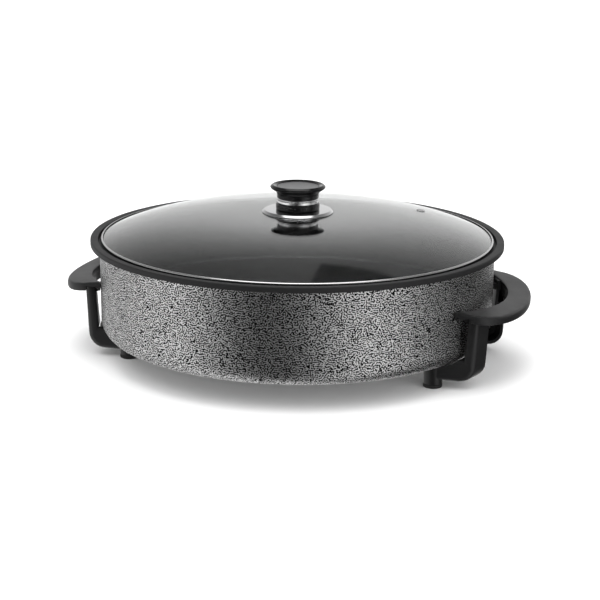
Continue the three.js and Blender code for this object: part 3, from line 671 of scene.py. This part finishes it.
@dataclass
class Handles:
    """The two moulded handles with their legs."""

    def build(self) -> None:
        """Build and dress both handles."""
        for side in ("right", "left"):
            node = f"handle_{side}"
            piece = bpy.data.objects.new(f"{node}_moulding", smoothed(node))
            finish_piece(piece, MOULDING, Body.PAN, [node])
            weigh_normals(piece)


@dataclass
class Lid:
    """Glass dome with its steel ring and vent eyelet."""

    radius: float = 199.3
    thickness: float = 3.3
    edge_top: float = 99.0
    rise: float = 24.7
    ring_low: float = 94.1
    power: float = 3.3
    hole: float = 4.5
    vent_out: float = 136.2
    vent_turn: float = 34.0
    ring_gap: float = 0.3
    ring_sheet: float = 0.7
    lip_reach: float = 0.9
    lip_height: float = 0.85

    def dome(self, radius: np.ndarray | float) -> np.ndarray | float:
        """Height of the upper face: edge + rise * (1 - (r / R) ** p)."""
        return self.edge_top + self.rise * (1.0 - (np.asarray(radius) / self.radius) ** self.power)

    def glass(self) -> Surface:
        """The dome: both faces follow the same curve, a thickness apart."""
        share = np.concatenate([np.linspace(self.hole / self.radius, 0.6, 26)[:-1], np.linspace(0.6, 1.0, 34)])
        radii = share * self.radius
        radii[-1] -= 0.35
        under = np.column_stack([radii, self.dome(radii) - self.thickness])
        over = np.column_stack([radii[::-1], self.dome(radii[::-1])])
        edge = [(self.radius, self.edge_top - self.thickness + 0.6), (self.radius, self.edge_top - 0.6)]
        return lathe(np.vstack([under, edge, over]), 220).moved(z=STAND_HEIGHT)

    def ring(self) -> Surface:
        """The steel channel round the glass's edge: flat on top, with a bevel that faces outwards."""
        inside = self.radius + self.ring_gap
        outside = inside + self.ring_sheet
        lip = self.radius - self.lip_reach
        under = self.ring_low + 0.8
        over = float(self.dome(lip)) + 0.2
        top = over + self.lip_height
        return lathe(rounded([
            (lip, self.ring_low, 0.3), (outside, self.ring_low, 0.6), (outside, self.edge_top + 0.2, 0.3),
            (outside - 0.1, self.edge_top + 0.75, 0.2), (lip + 1.0, top, 0.25), (lip, top, 0.2),
            (lip, over), (inside, self.edge_top + 0.1), (inside, under), (lip, under),
        ], 4), 220).moved(z=STAND_HEIGHT)

    def eyelet(self) -> Surface:
        """The vent's eyelet, square to the dome where it stands."""
        profile = rounded([(2.6, -4.0, 0.2), (3.4, -4.0, 0.2), (3.4, 0.3), (4.6, 0.3, 0.2), (4.6, 0.9, 0.4),
                           (3.6, 1.3, 0.4), (2.6, 1.1, 0.5)], 4)
        slope = self.rise * self.power * (self.vent_out / self.radius) ** self.power / self.vent_out
        lean = np.array(Matrix.Rotation(math.atan(slope), 3, "Y"))
        swing = np.array(Matrix.Rotation(math.radians(self.vent_turn), 3, "Z"))
        height = float(self.dome(self.vent_out)) + STAND_HEIGHT
        return lathe(profile, 40).turned(lean).moved(self.vent_out, 0.0, height).turned(swing)

    def build(self) -> None:
        """Build and dress the lid's glass and metal."""
        add_piece("lid_dome", self.glass(), GLASS, Body.LID, ["lid_glass"])
        add_piece("lid_edge_ring", self.ring(), RING_STEEL, Body.LID, ["lid_ring"])
        add_piece("lid_vent", self.eyelet(), EYELET_STEEL, Body.LID, ["vent_eyelet"])


@dataclass
class Knob:
    """The knob's stack: steel flange, black band, chrome collar, black head and grey inlay."""

    bore: float = 3.2
    flange_out: float = 36.4
    flange_hollow: float = 13.5
    band_out: float = 22.4
    collar_out: float = 20.8
    collar_waist: float = 0.5
    neck_out: float = 21.4
    crest_out: float = 28.4
    crest_inside: float = 21.2
    inlay_out: float = 20.9
    gap: float = 0.3
    bell_low: float = 125.6
    bell_top: float = 126.5
    band_low: float = 126.7
    collar_low: float = 133.3
    head_low: float = 138.5
    head_top: float = 152.0
    lid: Lid = field(default_factory=Lid)

    def bell(self) -> Surface:
        """The steel flange: flat, with an edge that falls away to the glass."""
        low, top, out = float(self.lid.dome(self.flange_out)) + self.gap, self.bell_top, self.flange_out
        return lathe(rounded([
            (self.bore, self.bell_low), (self.flange_hollow, self.bell_low, 1.0), (out - 4.4, top - 1.1, 1.0),
            (out - 0.6, low, 0.3), (out, low, 0.2), (out, low + 0.3, 0.3), (out - 2.2, top - 0.2, 0.5),
            (out - 9.2, top - 0.1, 1.5), (out - 12.8, top - 0.1, 0.7), (out - 13.8, top, 0.5), (self.bore, top),
        ], 5), 96)

    def band(self) -> Surface:
        """The black band."""
        top, out = self.collar_low - self.gap, self.band_out
        return lathe(rounded([(self.bore, self.band_low), (out, self.band_low, 1.3), (out, top, 1.5),
                              (self.bore, top)], 6), 96)

    def collar(self) -> Surface:
        """The chrome collar, very slightly waisted."""
        top, out = self.head_low - self.gap, self.collar_out
        middle = (self.collar_low + top) / 2
        return lathe(rounded([(self.bore, self.collar_low), (out, self.collar_low, 1.0),
                              (out - self.collar_waist, middle, 2.6), (out, top, 1.0), (self.bore, top)], 6), 96)

    def head(self) -> Surface:
        """The black head: a neck that flares to its widest just below a rounded crest."""
        low, top = self.head_low, self.head_top
        neck, crest, inside = self.neck_out, self.crest_out, self.crest_inside
        return lathe(rounded([
            (0.0, top - 5.2), (self.bore, top - 5.2), (self.bore, low), (neck, low, 0.5), (neck, top - 8.5, 1.4),
            (neck + 1.8, top - 6.5, 1.6), (crest - 1.2, top - 4.2, 2.0), (crest, top - 2.6, 1.1),
            (crest - 0.2, top - 1.6, 0.7), (crest - 2.2, top, 0.9), (crest - 3.5, top, 0.5),
            (inside, top - 1.3, 0.4), (inside, top - 3.0), (0.0, top - 3.0),
        ], 6, closed=False), 96, ring=False)

    def inlay(self) -> Surface:
        """The plain disc in the head, with a low rim round it."""
        top, out = self.head_top - 1.1, self.inlay_out
        return lathe(rounded([(0.0, top - 1.6), (out, top - 1.6, 0.2), (out, top - 0.5, 0.3),
                              (out - 1.5, top - 0.5, 0.3), (out - 1.9, top - 0.78, 0.3), (0.0, top - 0.78)],
                             4, closed=False), 96, ring=False)

    def build(self) -> None:
        """Build and dress the stack."""
        for name, surface, finish, slot, node in (
                ("knob_bell", self.bell(), SPUN_STEEL, "knob_chrome", "knob_base"),
                ("knob_lower_band", self.band(), KNOB_BLACK, "knob_black", "knob_band"),
                ("knob_neck_collar", self.collar(), CHROME, "knob_chrome", "knob_collar"),
                ("knob_head", self.head(), KNOB_BLACK, "knob_black", "knob"),
                ("knob_inlay", self.inlay(), INLAY, "cap_inlay", "knob_cap")):
            add_piece(name, surface.moved(z=STAND_HEIGHT), finish, Body.LID, [node])


# Studio

CAMERA_PLACE = (0.41929163, -1.50173386, 0.48532186)
CAMERA_FORWARD = (-0.25726122, 0.92910762, -0.26566088)
CAMERA_RIGHT = (0.96289195, 0.26967503, 0.01069922)
CAMERA_UP = (-0.08158283, 0.25305023, 0.96400717)


@dataclass
class Studio:
    """White floor, soft light from all round and the camera.

    Each pair in around is a bearing as a share of a full turn, 0.5 being towards the camera, and the light's
    level there. Each pair in upper is a height, from 0 straight down to 1 straight up, and the level there.
    """

    floor_half: float = 30.0
    overhead: float = 2.4
    sky_sun: float = 1.9
    side_sun: float = 1.35
    around: tuple = ((0.0, 0.9), (0.1, 0.72), (0.2, 0.75), (0.29, 1.0), (0.335, 0.85), (0.375, 0.24),
                     (0.42, 0.08), (0.47, 0.03), (0.5, 0.05), (0.55, 0.36), (0.6, 1.0), (0.66, 0.85),
                     (0.72, 0.25), (0.78, 0.03), (0.87, 0.04), (0.92, 0.7), (1.0, 0.9))
    upper: tuple = ((0.0, 0.9), (0.5, 0.97), (0.58, 0.95), (0.64, 0.8), (0.69, 0.65), (0.75, 0.5), (0.79, 0.41),
                    (0.83, 0.3), (0.9, 0.24), (1.0, 0.24))

    def floor(self) -> None:
        """Lay the white floor just under the pads."""
        half = self.floor_half
        points = np.array([[[-half, -half, 0.0], [half, -half, 0.0]], [[-half, half, 0.0], [half, half, 0.0]]])
        plain = Finish("Floor white", (0.92, 0.92, 0.92), 0.9, 0.0, 0.01, 400.0, 100.0, 0.0, 0.0)
        sheet = bpy.data.objects.new("floor", grid(points / MILLIMETRE).mesh("floor", 30.0))
        bpy.context.scene.collection.objects.link(sheet)
        sheet.data.materials.append(plain.material())
        sheet.visible_glossy = False
        sheet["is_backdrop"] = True

    def surroundings(self) -> None:
        """Light by direction.

        Behind the object it is white low down and darker higher up, with a dark flag on the right. In front it
        changes with the bearing, and is dark behind the camera. Straight overhead there is a bright lamp.
        """
        world = bpy.data.worlds.new("Studio")
        bpy.context.scene.world = world
        world.use_nodes = True
        nodes = NodeBench(world.node_tree)
        split = nodes.node("ShaderNodeSeparateXYZ", None,
                           {0: nodes.node("ShaderNodeTexCoord").outputs["Generated"]})
        x, y, z = (Value(nodes, split.outputs[axis]) for axis in range(3))
        flat = (x * x + y * y) ** 0.5
        facing = (x * -CAMERA_FORWARD[0] + y * -CAMERA_FORWARD[1]) / flat
        aside = (x * CAMERA_RIGHT[0] + y * CAMERA_RIGHT[1]) / flat
        bearing = aside.bearing(facing) / math.pi * 0.5 + 0.5
        around = nodes.value("ShaderNodeValToRGB", {"stops": self.around}, {0: bearing})
        upper = nodes.value("ShaderNodeValToRGB", {"stops": self.upper}, {0: z * 0.5 + 0.5})
        high = z.step(0.1, 0.6)
        front = around * (1.0 - high) + high * 0.2
        behind = facing.step(0.3, -0.3) * z.step(-0.12, 0.08)
        flag = (aside.step(0.066, 0.07) * facing.step(-0.3, -0.6)
                * (z - aside * 0.2).step(0.668, 0.672))
        left_dim = 0.74 + aside.step(-0.4, 0.06) * 0.26
        level = behind * upper * (1.0 - flag * 0.9) * left_dim + (1.0 - behind) * front
        lamp = z.step(0.875, 0.93)
        level = level * (1.0 - lamp) + lamp * self.overhead
        colour = nodes.node("ShaderNodeCombineColor", None, {0: level, 1: level, 2: level}).outputs[0]
        light = nodes.node("ShaderNodeBackground", None, {"Color": colour, "Strength": 1.0})
        nodes.node("ShaderNodeOutputWorld", None, {"Surface": light.outputs[0]})

    def lamps(self) -> None:
        """Three very soft lamps that the gloss does not see: overhead, and low in front on either side."""
        ahead, aside, lean = 15.5, 42.0, 60.0
        for name, power, width, turn in (
                ("overhead", self.sky_sun, 75.0, (8.0, -4.0, 0.0)),
                ("front_left", self.side_sun, 60.0, (lean, 0.0, ahead - aside)),
                ("front_right", self.side_sun, 60.0, (lean, 0.0, ahead + aside))):
            data = bpy.data.lights.new(name, "SUN")
            data.energy = power
            data.angle = math.radians(width)
            lamp = bpy.data.objects.new(name, data)
            bpy.context.scene.collection.objects.link(lamp)
            lamp.rotation_euler = tuple(math.radians(angle) for angle in turn)
            lamp.visible_glossy = False

    def camera(self) -> None:
        """The camera where the photograph was taken from."""
        data = bpy.data.cameras.new("view")
        data.sensor_fit = "HORIZONTAL"
        data.sensor_width = 36.0
        data.lens = 93.35
        data.clip_end = 200.0
        view = bpy.data.objects.new("view", data)
        bpy.context.scene.collection.objects.link(view)
        right, up, ahead = (Vector(axis).normalized() for axis in (CAMERA_RIGHT, CAMERA_UP, CAMERA_FORWARD))
        turn = Matrix((right, up, -ahead)).transposed().to_4x4()
        view.matrix_world = Matrix.Translation(Vector(CAMERA_PLACE)) @ turn
        bpy.context.scene.camera = view

    def build(self) -> None:
        """Set the studio up."""
        self.floor()
        self.surroundings()
        self.lamps()
        self.camera()
        bpy.context.scene.view_settings.view_transform = "Standard"


def keep_sizes(before: Any, after: Any) -> None:
    """Put the box of the solids and of the dressed part side by side as plain lists; the result is not kept."""
    {"cad": plain(before), "visual": plain(after)}


def plain(given: Any) -> Any:
    """Vectors as lists of numbers."""
    return [plain(item) for item in given] if hasattr(given, "__len__") else float(given)


def main() -> None:
    """Build the pan, the lid and the studio."""
    logging.basicConfig(level=logging.INFO, format="%(message)s")
    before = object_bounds()
    for part in (Housing(), Casting(), Handles(), Feet(), Fittings(), Lid(), Knob()):
        part.build()
        log.info("%s done", type(part).__name__)
    Studio().build()
    keep_sizes(before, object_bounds())


if __name__ == "__main__":
    main()
